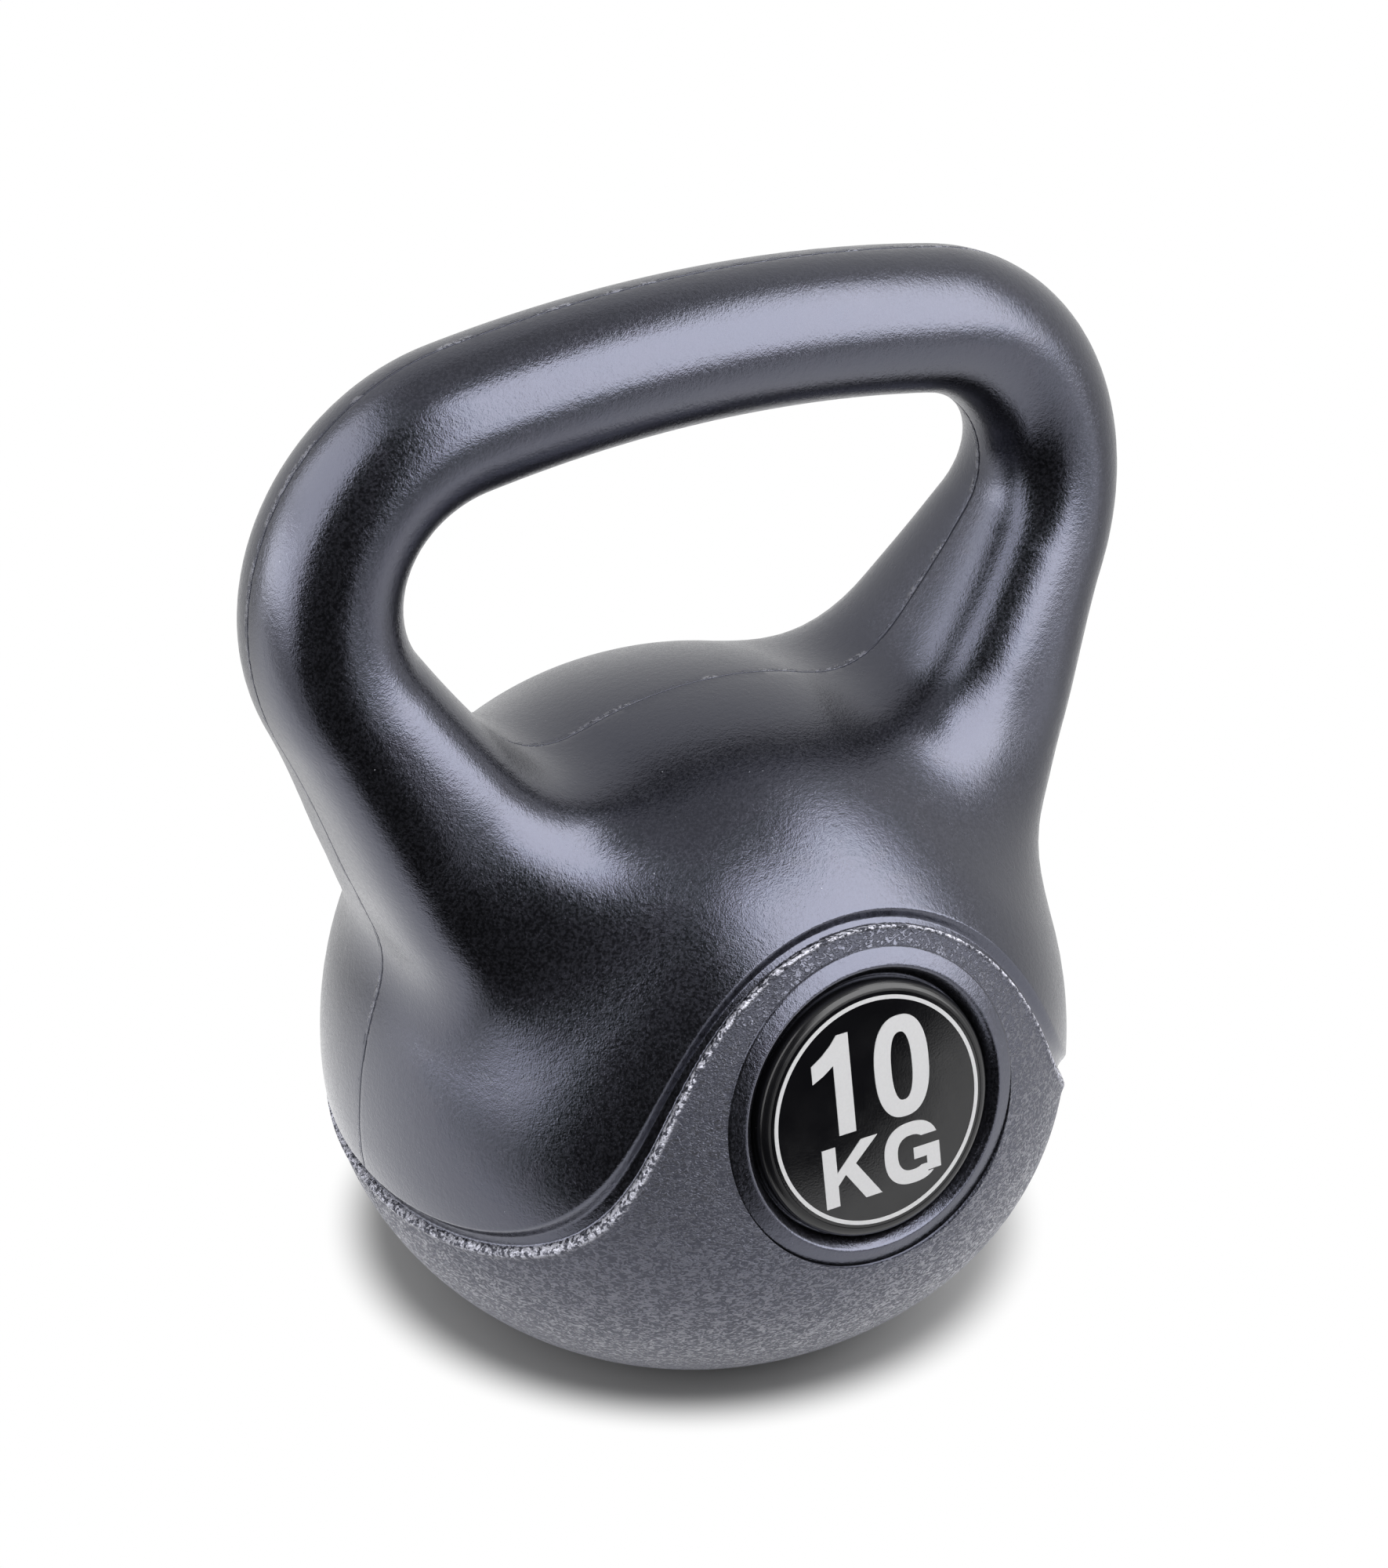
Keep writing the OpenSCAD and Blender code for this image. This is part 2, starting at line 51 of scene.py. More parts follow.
# ---------------------------------------------------------------- sizes, in millimetres
BALL_W, BALL_D, CROWN_H, KEEL_H, BALL_POWER = 196, 197, 103, 83, 2.05
FOOT_DIA, FOOT_STEP, FOOT_ROUND = 72, 0.6, 4
TOTAL_H, GRIP_H, GRIP_D = 290, 37, 38
BOW_R, BOW_ANGLE, SHOULDER_R = 380, math.radians(10), 44.5
LEG_LEAN, ROOT_SINK, ROOT_H, ROOT_D = math.radians(29.4), 25.4, 52, 72
FLARE_POWER, DEPTH_POWER, FLARE_SHARE, ROOT_POWER = 2.6, 1.5, 0.14, 3
SEAM_BLEND, FACE_BLEND, BLEND_REACH = 20, 33, 38

BADGE_INSET, BADGE_RISE, BADGE_TILT = 9.1, 25.1, math.radians(12)
COLLAR_R, NECK_FLOOR = 41, 20

# ---------------------------------------------------------------- centre line of the handle
BELLY_Z = KEEL_H * math.sqrt(1 - (FOOT_DIA / BALL_W) ** 2)
CROWN_Z = BELLY_Z + CROWN_H
GRIP_Z = TOTAL_H - GRIP_H / 2
WINDOW_Z = (CROWN_Z + TOTAL_H - GRIP_H) / 2


def toward(angle):
    """Unit step in the X-Z plane, turned from upright towards +X."""
    return np.array([math.sin(angle), math.cos(angle)])


BOW_CENTRE = np.array([0, GRIP_Z - BOW_R])
SHOULDER_CENTRE = BOW_CENTRE + (BOW_R - SHOULDER_R) * toward(BOW_ANGLE)
SHOULDER_STOP = math.pi / 2 + LEG_LEAN
LEG_TOP = SHOULDER_CENTRE + SHOULDER_R * toward(SHOULDER_STOP)
LEG_DIR = -toward(LEG_LEAN)
LEG_LEN = (LEG_TOP[1] - CROWN_Z + ROOT_SINK) / math.cos(LEG_LEAN)
BOW_LEN = BOW_R * BOW_ANGLE
SHOULDER_LEN = SHOULDER_R * (SHOULDER_STOP - BOW_ANGLE)
ROOT_S = BOW_LEN + SHOULDER_LEN + LEG_LEN
FLARE_S = BOW_LEN + FLARE_SHARE * SHOULDER_LEN


def smooth_min(a, b, k):
    return np.minimum(a, b) - np.maximum(k - np.abs(a - b), 0) ** 2 / (4 * k)


def smooth_max(a, b, k):
    return -smooth_min(-a, -b, k)


def eased(t):
    """An S curve from 0 to 1."""
    return t * t * (3 - 2 * t)


def smooth_step(value, low, high):
    """0 below low, 1 above high, an S curve between them."""
    return eased(np.clip((value - low) / (high - low), 0, 1))


def arc_place(x, z, centre, radius, start, stop, before):
    """Distance from an arc of the centre line, and how far along the line that is."""
    angle = np.arctan2(x - centre[0], z - centre[1])
    angle = np.clip(np.where(angle < -math.pi / 2, angle + 2 * math.pi, angle), start, stop)
    away = np.hypot(x - centre[0] - radius * np.sin(angle), z - centre[1] - radius * np.cos(angle))
    return away, before + radius * (angle - start)


def handle_place(x, z):
    """Distance from the handle's centre line in the X-Z plane, and how far along it that is."""
    away, along = arc_place(x, z, BOW_CENTRE, BOW_R, 0, BOW_ANGLE, 0)
    t = np.clip((x - LEG_TOP[0]) * LEG_DIR[0] + (z - LEG_TOP[1]) * LEG_DIR[1], 0, LEG_LEN)
    leg = np.hypot(x - LEG_TOP[0] - t * LEG_DIR[0], z - LEG_TOP[1] - t * LEG_DIR[1])
    others = (
        arc_place(x, z, SHOULDER_CENTRE, SHOULDER_R, BOW_ANGLE, SHOULDER_STOP, BOW_LEN),
        (leg, BOW_LEN + SHOULDER_LEN + t),
    )
    for other_away, other_along in others:
        nearer = other_away < away
        away = np.where(nearer, other_away, away)
        along = np.where(nearer, other_along, along)
    return away, along


def handle_field(p):
    away, along = handle_place(np.abs(p[:, 0]), p[:, 2])
    w = np.clip((along - FLARE_S) / (ROOT_S - FLARE_S), 0, 1)
    in_plane, in_depth = eased(w**FLARE_POWER), eased(w**DEPTH_POWER)
    a = (GRIP_H + (ROOT_H - GRIP_H) * in_plane) / 2
    b = (GRIP_D + (ROOT_D - GRIP_D) * in_depth) / 2
    n = 2 + (ROOT_POWER - 2) * in_depth
    u, v = away / a + TINY, np.abs(p[:, 1]) / b + TINY
    reach = (u**n + v**n) ** (1 / n)
    return (reach - 1) * reach ** (n - 1) / np.hypot(u ** (n - 1) / a, v ** (n - 1) / b)


def ball_field(p):
    rise = np.where(p[:, 2] > BELLY_Z, CROWN_H, KEEL_H)
    total = np.abs(2 * p[:, 0] / BALL_W) ** BALL_POWER
    total = total + np.abs(2 * p[:, 1] / BALL_D) ** BALL_POWER
    total = total + np.abs((p[:, 2] - BELLY_Z) / rise) ** BALL_POWER
    return (total ** (1 / BALL_POWER) - 1) * BALL_W / 2


def skin_field(p):
    """Below 0 inside the plain skin and above 0 outside, close to millimetres near it."""
    blend = SEAM_BLEND + (FACE_BLEND - SEAM_BLEND) * (1 - np.exp(-((p[:, 1] / BLEND_REACH) ** 2)))
    body = smooth_min(ball_field(p), handle_field(p), blend)
    return smooth_max(body, FOOT_STEP - p[:, 2], FOOT_ROUND)


def gradient(field, p):
    steps = GRADIENT_STEP * np.eye(3)
    columns = [(field(p + step) - field(p - step)) / (2 * GRADIENT_STEP) for step in steps]
    return np.stack(columns, 1)


def unit(v):
    return v / np.maximum(np.linalg.norm(v, axis=1), 1e-12)[:, None]


def onto_skin(p, turns=3):
    """Points moved onto the plain skin along its gradient."""
    for _ in range(turns):
        g = gradient(skin_field, p)
        p = p - (skin_field(p) / np.maximum((g * g).sum(1), 1e-9))[:, None] * g
    return p


# ---------------------------------------------------------------- badge frame
BADGE_AXIS = np.array([0, -math.cos(BADGE_TILT), math.sin(BADGE_TILT)])
BADGE_UP = np.array([0, math.sin(BADGE_TILT), math.cos(BADGE_TILT)])
BADGE_CENTRE = np.array([0, BADGE_INSET - BALL_D / 2, BELLY_Z + BADGE_RISE])


def badge_offset(p):
    """Offsets across the badge, to the right and up, with the rear half folded onto the front."""
    away = np.stack([p[:, 0], -np.abs(p[:, 1]), p[:, 2]], 1) - BADGE_CENTRE
    return away[:, 0], away @ BADGE_UP


def badge_radius(p):
    return np.hypot(*badge_offset(p))


# ---------------------------------------------------------------- relief on the skin
WAVE_R, WAVE_Z, WAVE_BLEND = 46.2, 49.4, 116.0
GROOVE_DEPTH, GROOVE_SMOOTH_SIDE, GROOVE_GRAINED_SIDE = 1.9, (0.35, 2.3), (0.75, 1.75)
BEAD_HIGH, BEAD_RISES, BEAD_ENDS = 0.45, (1.0, 1.8), (1.9, 3.1)
SEAM_FLOOR, SEAM_HALF, SEAM_DEPTH = 0.1, 0.45, 0.35


def wave_field(p):
    """0 along the middle of the wavy groove, above 0 on the smooth half, below 0 on the grained."""
    return smooth_min(badge_radius(p) - WAVE_R, p[:, 2] - WAVE_Z, WAVE_BLEND)


def relief(p):
    """Height of the real skin over the plain one."""
    wave = wave_field(p)
    edge = smooth_step(wave, *GROOVE_SMOOTH_SIDE)
    shoulder = smooth_step(-wave, *GROOVE_GRAINED_SIDE)
    groove = -GROOVE_DEPTH * (1 - edge) * (1 - shoulder)
    bead = BEAD_HIGH * smooth_step(-wave, *BEAD_RISES) * (1 - smooth_step(-wave, *BEAD_ENDS))
    notch = -SEAM_DEPTH * (1 - smooth_step(np.abs(p[:, 1]), SEAM_FLOOR, SEAM_HALF))
    return groove + notch + bead


# ---------------------------------------------------------------- mesh of the skin
LOOP_CELLS, ROUND_CELLS = 132, 44
SMOOTH_EDGE, HANDLE_EDGE, EDGE_GROWTH = 6.0, 3.7, 0.9
GROOVE_EDGE, SEAM_EDGE, RIM_EDGE = 0.8, 1.8, 1.6
GROOVE_HALF, GROOVE_EASE, EDGE_FADE = 2.4, 0.8, 10
SCAN_START, SCAN_STEP, SCAN_ANGLES, HALVINGS = 2, 0.5, 721, 24
REFINE_ROUNDS, SPREAD_ROUNDS, SNAP_SHARE = 8, 12, 0.25


def section_span(angle):
    """Where a ray in the X-Z plane from the middle of the window enters and leaves the body."""
    step = np.array([math.sin(angle), 0, math.cos(angle)])
    reach = np.arange(SCAN_START, WINDOW_Z + 4, SCAN_STEP)
    points = np.array([0, 0, WINDOW_Z]) + reach[:, None] * step
    inside = reach[skin_field(points) < 0]
    return step, inside[0], inside[-1]


def base_mesh():
    """A coarse closed mesh of quads around ball and handle, and its points on the plain skin."""
    angles = np.linspace(0, 2 * math.pi, SCAN_ANGLES)
    spans = [section_span(a) for a in angles]
    outer = np.array([s[0] * s[2] for s in spans])
    way = np.concatenate([[0], np.cumsum(np.linalg.norm(np.diff(outer, axis=0), axis=1))])
    turns = np.interp(np.linspace(0, way[-1], LOOP_CELLS, endpoint=False), way, angles)
    points = []
    for angle in turns:
        step, near, far = section_span(angle)
        middle = (near + far) / 2
        centre = np.array([0, 0, WINDOW_Z]) + middle * step
        around = np.linspace(0, 2 * math.pi, ROUND_CELLS, endpoint=False)
        rays = np.cos(around)[:, None] * step + np.sin(around)[:, None] * np.array([0, 1, 0])
        low = np.zeros(ROUND_CELLS)
        high = np.minimum(BALL_D, middle / np.maximum(-np.cos(around), TINY))
        for _ in range(HALVINGS):
            half = (low + high) / 2
            inside = skin_field(centre + half[:, None] * rays) < 0
            low, high = np.where(inside, half, low), np.where(inside, high, half)
        points.append(centre + half[:, None] * rays)
    index = np.arange(LOOP_CELLS * ROUND_CELLS).reshape(LOOP_CELLS, ROUND_CELLS)
    ahead, beside = np.roll(index, -1, 0), np.roll(index, -1, 1)
    quads = np.stack([index, ahead, np.roll(ahead, -1, 1), beside], -1).reshape(-1, 4)
    return np.concatenate(points), np.concatenate([quads[:, [0, 1, 2]], quads[:, [0, 2, 3]]])


def target_edge(p):
    """Longest edge allowed at each point: short along the groove, the parting line and the rim."""
    on_handle = smooth_step(p[:, 2], CROWN_Z - EDGE_FADE, CROWN_Z + EDGE_FADE)
    size = SMOOTH_EDGE + (HANDLE_EDGE - SMOOTH_EDGE) * on_handle
    for fine, distance in (
        (GROOVE_EDGE, (np.abs(wave_field(p)) - GROOVE_HALF) / GROOVE_EASE),
        (SEAM_EDGE, np.abs(p[:, 1])),
        (RIM_EDGE, np.abs(badge_radius(p) - COLLAR_R)),
    ):
        size = np.minimum(size, fine + EDGE_GROWTH * np.maximum(distance, 0))
    return size


def face_edges(faces):
    """Both ends of the three edges of each face."""
    return faces[:, [0, 1, 1, 2, 2, 0]].reshape(-1, 2)


def refine(points, faces):
    """Splits the edges that are too long, once, and keeps the mesh closed."""
    pairs, where = np.unique(np.sort(face_edges(faces), 1), axis=0, return_inverse=True)
    where = where.reshape(-1, 3)
    ends = points[pairs]
    length = np.linalg.norm(ends[:, 0] - ends[:, 1], axis=1)
    split = length > target_edge(ends.mean(1))
    longest = where[np.arange(len(where)), length[where].argmax(1)]
    for _ in range(SPREAD_ROUNDS):
        forced = longest[split[where].any(1)]
        if split[forced].all():
            break
        split[forced] = True
    new = onto_skin(ends[split].mean(1), 2)
    number = np.full(len(pairs), -1)
    number[split] = len(points) + np.arange(split.sum())
    mid = number[where]
    has = mid >= 0
    count = has.sum(1)
    parts = [faces[count == 0]]
    for turn in range(3):
        order = [turn, (turn + 1) % 3, (turn + 2) % 3]
        f, m, h = faces[:, order], mid[:, order], has[:, order]
        one = h[:, 0] & ~h[:, 1] & ~h[:, 2]
        parts.append(np.stack([f[one, 0], m[one, 0], f[one, 2]], 1))
        parts.append(np.stack([m[one, 0], f[one, 1], f[one, 2]], 1))
        two = h[:, 0] & h[:, 1] & ~h[:, 2]
        parts.append(np.stack([m[two, 0], f[two, 1], m[two, 1]], 1))
        first = (longest[two] == where[:, order][two, 0])[:, None]
        a, b, c, d = f[two, 0], m[two, 0], m[two, 1], f[two, 2]
        parts.append(np.where(first, np.stack([a, b, d], 1), np.stack([a, b, c], 1)))
        parts.append(np.where(first, np.stack([b, c, d], 1), np.stack([a, c, d], 1)))
    f, m = faces[count == 3], mid[count == 3]
    parts.append(np.stack([f[:, 0], m[:, 0], m[:, 2]], 1))
    parts.append(np.stack([m[:, 0], f[:, 1], m[:, 1]], 1))
    parts.append(np.stack([m[:, 2], m[:, 1], f[:, 2]], 1))
    parts.append(m)
    return np.concatenate([points, new]), np.concatenate(parts), bool(split.any())


def relax(points, faces, rounds=3):
    """Evens out the triangles by sliding the points along the skin."""
    for _ in range(rounds):
        total = np.zeros_like(points)
        count = np.zeros(len(points))
        for a, b in ((0, 1), (1, 2), (2, 0)):
            for i, j in ((a, b), (b, a)):
                for axis in range(3):
                    total[:, axis] += np.bincount(
                        faces[:, i], points[faces[:, j], axis], len(points))
                count += np.bincount(faces[:, i], minlength=len(points))
        move = total / count[:, None] - points
        normal = unit(gradient(skin_field, points))
        move -= (move * normal).sum(1)[:, None] * normal
        points = onto_skin(points + 0.5 * move, 1)
    return points


def onto_level(p, y):
    """Points moved onto the skin at one depth y."""
    p = p.copy()
    p[:, 1] = y
    for _ in range(4):
        g = gradient(skin_field, p)
        g[:, 1] = 0
        p = p - (skin_field(p) / np.maximum((g * g).sum(1), 1e-9))[:, None] * g
    return p


def onto_rim(p):
    """Points moved onto the circle where the skin meets the collar of the nearer badge."""
    side = np.where(p[:, 1] > 0, -1.0, 1.0)
    across, up = badge_offset(p)
    scale = COLLAR_R / np.hypot(across, up)
    at = BADGE_CENTRE + (across * scale)[:, None] * np.array([1, 0, 0])
    at = at + (up * scale)[:, None] * BADGE_UP
    for _ in range(6):
        slope = gradient(skin_field, at) @ BADGE_AXIS
        at = at - (skin_field(at) / slope)[:, None] * BADGE_AXIS
    at[:, 1] *= side
    return at


def cut_along(points, faces, value, place):
    """Splits the triangles where value changes sign, so that edges run along its zero line."""
    points, value = points.copy(), value.copy()
    a, b = np.unique(np.sort(face_edges(faces), 1), axis=0).T
    crossed = value[a] * value[b] < 0
    t = value[a[crossed]] / (value[a[crossed]] - value[b[crossed]])
    near = np.unique(np.concatenate([a[crossed][t < SNAP_SHARE], b[crossed][t > 1 - SNAP_SHARE]]))
    points[near] = place(points[near])
    value[near] = 0
    crossed = value[a] * value[b] < 0
    a, b = a[crossed], b[crossed]
    t = (value[a] / (value[a] - value[b]))[:, None]
    new = place(points[a] * (1 - t) + points[b] * t)
    key = dict(zip(zip(a.tolist(), b.tolist()), range(len(points), len(points) + len(a))))
    points = np.concatenate([points, new])
    value = np.concatenate([value, np.zeros(len(new))])
    signs = np.sign(value[faces])
    mixed = (signs.min(1) < 0) & (signs.max(1) > 0)
    out = []
    for face in faces[mixed].tolist():
        ring = []
        for i in range(3):
            p, q = face[i], face[(i + 1) % 3]
            ring.append(p)
            cut = key.get((min(p, q), max(p, q)))
            if cut is not None:
                ring.append(cut)
        zeros = [i for i, p in enumerate(ring) if value[p] == 0]
        start = zeros[0]
        ring = ring[start:] + ring[:start]
        stop = next(i for i in range(2, len(ring)) if value[ring[i]] == 0)
        for part in (ring[: stop + 1], ring[stop:] + ring[:1]):
            out += [[part[0], part[i], part[i + 1]] for i in range(1, len(part) - 1)]
    faces = np.concatenate([faces[~mixed], np.array(out, int).reshape(-1, 3)])
    return points, faces, value


def skin_mesh():
    """The plain skin as triangles, fine along its lines and open inside both collars."""
    points, faces = base_mesh()
    middle = points[faces].mean(1)
    turn = np.cross(points[faces[:, 1]] - points[faces[:, 0]],
                    points[faces[:, 2]] - points[faces[:, 0]])
    if (turn * gradient(skin_field, middle)).sum() < 0:
        faces = faces[:, ::-1]
    for _ in range(REFINE_ROUNDS):
        points, faces, more = refine(points, faces)
        if not more:
            break
    points = relax(points, faces)
    for y in (0, -SEAM_HALF, SEAM_HALF):
        points, faces, _ = cut_along(
            points, faces, points[:, 1] - y, lambda p, y=y: onto_level(p, y))
    points, faces, value = cut_along(points, faces, badge_radius(points) - COLLAR_R, onto_rim)
    faces = faces[value[faces].max(1) > 0]
    return points, faces


def open_loops(faces):
    """The loops of points around the openings, each in the order that its faces turn."""
    there = set(map(tuple, face_edges(faces).tolist()))
    follow = {a: b for a, b in there if (b, a) not in there}
    loops = []
    while follow:
        loop, at = [], min(follow)
        while at in follow:
            loop.append(at)
            at = follow.pop(at)
        loops.append(loop)
    return loops


# Collar, recess and neck, from the outside in: radius and height over the badge plane
CUP_PROFILE = (
    (40.95, -2.3), (40.8, -2.12), (40.4, -2.0), (38.7, -1.45), (37.1, -0.98), (36.75, -0.9),
    (36.35, -0.92), (35.9, -1.25), (35.0, -2.2), (34.3, -3.0), (34.08, -3.4), (34.0, -3.9),
    (34.0, -4.6), (33.8, -4.93), (33.4, -5.0), (28.4, -5.0), (28.05, -5.15), (28.0, -5.6),
    (28.0, -13.0), (28.0, -NECK_FLOOR),
)
CUP_WAVE = 20.0  # the cups are smooth, so they lie well on the smooth side of the wave


def build_skin():
    """The whole moulded skin: relief on the plain skin, and collar, recess and neck of each cup."""
    points, faces = skin_mesh()
    used = np.unique(faces)
    back = np.full(len(points), -1)
    back[used] = np.arange(len(used))
    points, faces = points[used], back[faces]
    normal = unit(gradient(skin_field, points))
    height = relief(points)
    slope = gradient(relief, points)
    slope -= (slope * normal).sum(1)[:, None] * normal
    shaded = unit(normal - slope)
    wave = wave_field(points)
    shape = points + height[:, None] * normal
    corner_normal = shaded[faces]
    shapes, all_faces, corners, waves = [shape], [faces], [corner_normal], [wave]
    count = len(shape)
    profile = np.array(CUP_PROFILE)
    step = np.diff(profile, axis=0)
    lean = np.stack([-step[:, 1], step[:, 0]], 1)
    lean = -lean / np.linalg.norm(lean, axis=1)[:, None]
    bend = np.concatenate([lean[:1], lean[:-1] + lean[1:], lean[-1:]])
    bend = bend / np.linalg.norm(bend, axis=1)[:, None]
    for loop in open_loops(faces):
        rim = points[loop]
        side = -1.0 if rim[:, 1].mean() > 0 else 1.0
        across, up = badge_offset(rim)
        angle = np.arctan2(up, across)
        flat = np.array([1, side, 1])
        right, rise, out = (np.array(v) * flat for v in ((1, 0, 0), BADGE_UP, BADGE_AXIS))
        ray = np.cos(angle)[:, None] * right + np.sin(angle)[:, None] * rise
        centre = BADGE_CENTRE * flat
        rings = [centre + r * ray + h * out for r, h in profile]
        tilt = [unit(r * ray + h * out) for r, h in bend]
        n = len(loop)
        index = count + np.arange(len(rings))[:, None] * n + np.arange(n)
        index = np.concatenate([np.array(loop)[None], index])
        ring_normals = np.stack([tilt[0]] + tilt)
        now, ahead = np.arange(n), (np.arange(n) + 1) % n
        for k in range(len(index) - 1):
            quad = np.stack([index[k, ahead], index[k, now], index[k + 1, now],
                             index[k + 1, ahead]], 1)
            q = np.stack([ring_normals[k, ahead], ring_normals[k, now],
                          ring_normals[k + 1, now], ring_normals[k + 1, ahead]], 1)
            all_faces += [quad[:, [0, 1, 2]], quad[:, [0, 2, 3]]]
            corners += [q[:, [0, 1, 2]], q[:, [0, 2, 3]]]
        shapes += rings + [(centre - NECK_FLOOR * out)[None]]
        hub = count + len(rings) * n
        cap = np.stack([index[-1, ahead], index[-1, now], np.full(n, hub)], 1)
        all_faces.append(cap)
        corners.append(np.broadcast_to(out, (n, 3, 3)))
        waves.append(np.full(len(rings) * n + 1, CUP_WAVE))
        count = hub + 1
    return (np.concatenate(shapes), np.concatenate(all_faces), np.concatenate(corners),
            np.concatenate(waves))


def new_object(name, data):
    piece = bpy.data.objects.new(name, data)
    bpy.context.scene.collection.objects.link(piece)
    return piece


def triangle_mesh(name, points, faces, corner_normals):
    """A Blender mesh in metres from triangles in millimetres, with a normal for each corner."""
    mesh = bpy.data.meshes.new(name)
    mesh.vertices.add(len(points))
    mesh.vertices.foreach_set("co", (points * MM).astype(np.float32).ravel())
    mesh.loops.add(faces.size)
    mesh.loops.foreach_set("vertex_index", faces.astype(np.int32).ravel())
    mesh.polygons.add(len(faces))
    mesh.polygons.foreach_set("loop_start", np.arange(0, faces.size, 3, dtype=np.int32))
    mesh.update(calc_edges=True)
    mesh.validate()
    mesh.polygons.foreach_set("use_smooth", np.ones(len(faces), bool))
    mesh.normals_split_custom_set(corner_normals.reshape(-1, 3).astype(np.float32))
    return mesh


# ---------------------------------------------------------------- node materials
class Nodes:
    """A short way to write a material's nodes."""

    def __init__(self, name, colour, roughness, **settings):
        self.material = bpy.data.materials.new(name)
        self.material.use_nodes = True
        self.tree = self.material.node_tree
        self.shader = self.tree.nodes["Principled BSDF"]
        self.shader.inputs["Base Color"].default_value = (*colour, 1)
        self.shader.inputs["Roughness"].default_value = roughness
        for key, value in settings.items():
            self.shader.inputs[key.replace("_", " ")].default_value = value
        self.place = self.add("TexCoord").outputs["Object"]

    def add(self, kind, **settings):
        made = self.tree.nodes.new("ShaderNode" + kind)
        for key, value in settings.items():
            setattr(made, key, value)
        return made

    def feed(self, socket, value):
        if isinstance(value, bpy.types.NodeSocket):
            self.tree.links.new(value, socket)
        else:
            socket.default_value = value

    def math(self, operation, *values, clamp=False):
        made = self.add("Math", operation=operation, use_clamp=clamp)
        for socket, value in zip(made.inputs, values):
            self.feed(socket, value)
        return made.outputs[0]

    def times(self, first, second):
        return self.math("MULTIPLY", first, second)

    def plus(self, first, second):
        return self.math("ADD", first, second)

    def place_axes(self):
        made = self.add("SeparateXYZ")
        self.feed(made.inputs[0], self.place)
        return made.outputs

    def noise(self, size_mm, detail=2.0, rough=0.5, distortion=0.0, stretch=None):
        made = self.add("TexNoise")
        self.feed(made.inputs["Vector"], self.scaled(stretch) if stretch else self.place)
        self.feed(made.inputs["Scale"], 1 / (size_mm * MM))
        self.feed(made.inputs["Detail"], detail)
        self.feed(made.inputs["Roughness"], rough)
        self.feed(made.inputs["Distortion"], distortion)
        return made.outputs["Fac"]

    def scaled(self, factors):
        made = self.add("Mapping")
        self.feed(made.inputs["Vector"], self.place)
        self.feed(made.inputs["Scale"], factors)
        return made.outputs[0]

    def cells(self, size_mm):
        made = self.add("TexVoronoi")
        self.feed(made.inputs["Vector"], self.place)
        self.feed(made.inputs["Scale"], 1 / (size_mm * MM))
        return made.outputs["Distance"]

    def span(self, value, low, high, to_low=0.0, to_high=1.0, smooth=True):
        """to_low where value is low, to_high where it is high; low may be the larger one."""
        made = self.add("MapRange", interpolation_type="SMOOTHSTEP" if smooth else "LINEAR")
        for key, given in (("Value", value), ("From Min", low), ("From Max", high),
                           ("To Min", to_low), ("To Max", to_high)):
            self.feed(made.inputs[key], given)
        return made.outputs[0]

    def mix(self, share, *tones):
        made = self.add("Mix", data_type="RGBA")
        self.feed(made.inputs["Factor"], share)
        for key, tone in zip("AB", tones):
            self.feed(made.inputs[key], (*tone, 1) if isinstance(tone, tuple) else tone)
        return made.outputs["Result"]

    def colour(self, value):
        self.feed(self.shader.inputs["Base Color"], value)

    def rough(self, value):
        self.feed(self.shader.inputs["Roughness"], value)

    def bump(self, height, depth_mm, before=None):
        """Relief on the surface, on top of the bump before."""
        made = self.add("Bump")
        self.feed(made.inputs["Height"], height)
        self.feed(made.inputs["Strength"], 1.0)
        self.feed(made.inputs["Distance"], depth_mm * MM)
        if before is not None:
            self.feed(made.inputs["Normal"], before)
        self.feed(self.shader.inputs["Normal"], made.outputs[0])
        return made.outputs[0]

    def surface_mix(self, share, first, second):
        """Blends two shaders into the material's surface."""
        made = self.add("MixShader")
        for socket, value in zip(made.inputs, (share, first, second)):
            self.feed(socket, value)
        self.feed(self.tree.nodes["Material Output"].inputs["Surface"], made.outputs[0])


DUST_TONE, DUST_CELL, DUST_COVER = (0.32, 0.33, 0.36), 2.6, 0.75
SHEEN_TINT = (0.75, 0.78, 1.0, 1)
RIDGE_TONE, FLASH_TONE = (0.085, 0.085, 0.097), (0.17, 0.17, 0.19)
# Colour of the painted glints on the crinkled edge along the groove
PAINTED_GLINT_TONE = (0.85, 0.85, 0.95)


def dusty(m, plain, amount=1.0):
    """Sparse pale specks of dust over a colour."""
    sizes = m.span(m.noise(7.0, 3.0), 0.56, 0.75, 0.0, 0.075 * amount, smooth=False)
    share = m.math("LESS_THAN", m.cells(DUST_CELL), sizes)
    return m.mix(m.times(share, DUST_COVER), plain, DUST_TONE)


def parting_marks(m, side):
    """The wandering and the broken line where the mould parts, and the crumbs of flash beside."""
    wander = m.times(m.math("SUBTRACT", m.noise(9.0, 2.0), 0.5), 0.5 * MM)
    first_line = m.math("ABSOLUTE", m.plus(side, wander))
    second_line = m.math("ABSOLUTE", m.math("SUBTRACT", side, 1.1 * MM))
    broken = m.span(m.noise(4.0, 3.0), 0.54, 0.6)
    lines = m.math("MAXIMUM", m.span(first_line, 0.12 * MM, 0.34 * MM, 1.0, 0.0),
                   m.times(m.span(second_line, 0.05 * MM, 0.3 * MM, 0.8, 0.0), broken))
    beside = m.times(m.span(side, 0.1 * MM, 0.4 * MM),
                     m.span(side, 1.3 * MM, 2.0 * MM, 1.0, 0.0))
    patches = m.span(m.noise(15.0, 1.0), 0.5, 0.56)
    crumbs = m.times(m.span(m.noise(1.3, 2.0, 0.6), 0.46, 0.54), patches)
    return lines, m.times(beside, crumbs)


